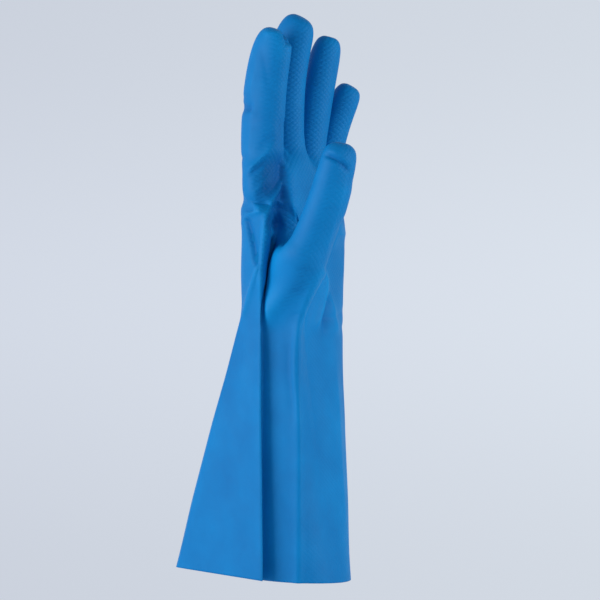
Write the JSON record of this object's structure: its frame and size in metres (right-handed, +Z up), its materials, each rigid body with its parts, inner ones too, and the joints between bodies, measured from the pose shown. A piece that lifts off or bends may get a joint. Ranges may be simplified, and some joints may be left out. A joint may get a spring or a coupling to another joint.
{
  "type": "chemical-resistant glove",
  "caption": "Unlined blue nitrile gauntlet glove for a left hand, with a long flared cuff folded behind the wrist and an open hem.",
  "frame": {"origin": "on the hand's upright axis, in the plane of the hem, where the hand goes in", "axes": "+Z up from the hem to the fingertips, -Y the way the palm faces, -X towards the thumb, +X towards the little finger"},
  "size_m": [0.0889, 0.1268, 0.3287],
  "materials": {
    "nitrile": "matt, fine diamond grip texture on the palm and fingers"
  },
  "bodies": {
    "root": {"glove_shell": "nitrile"}
  },
  "joints": []
}
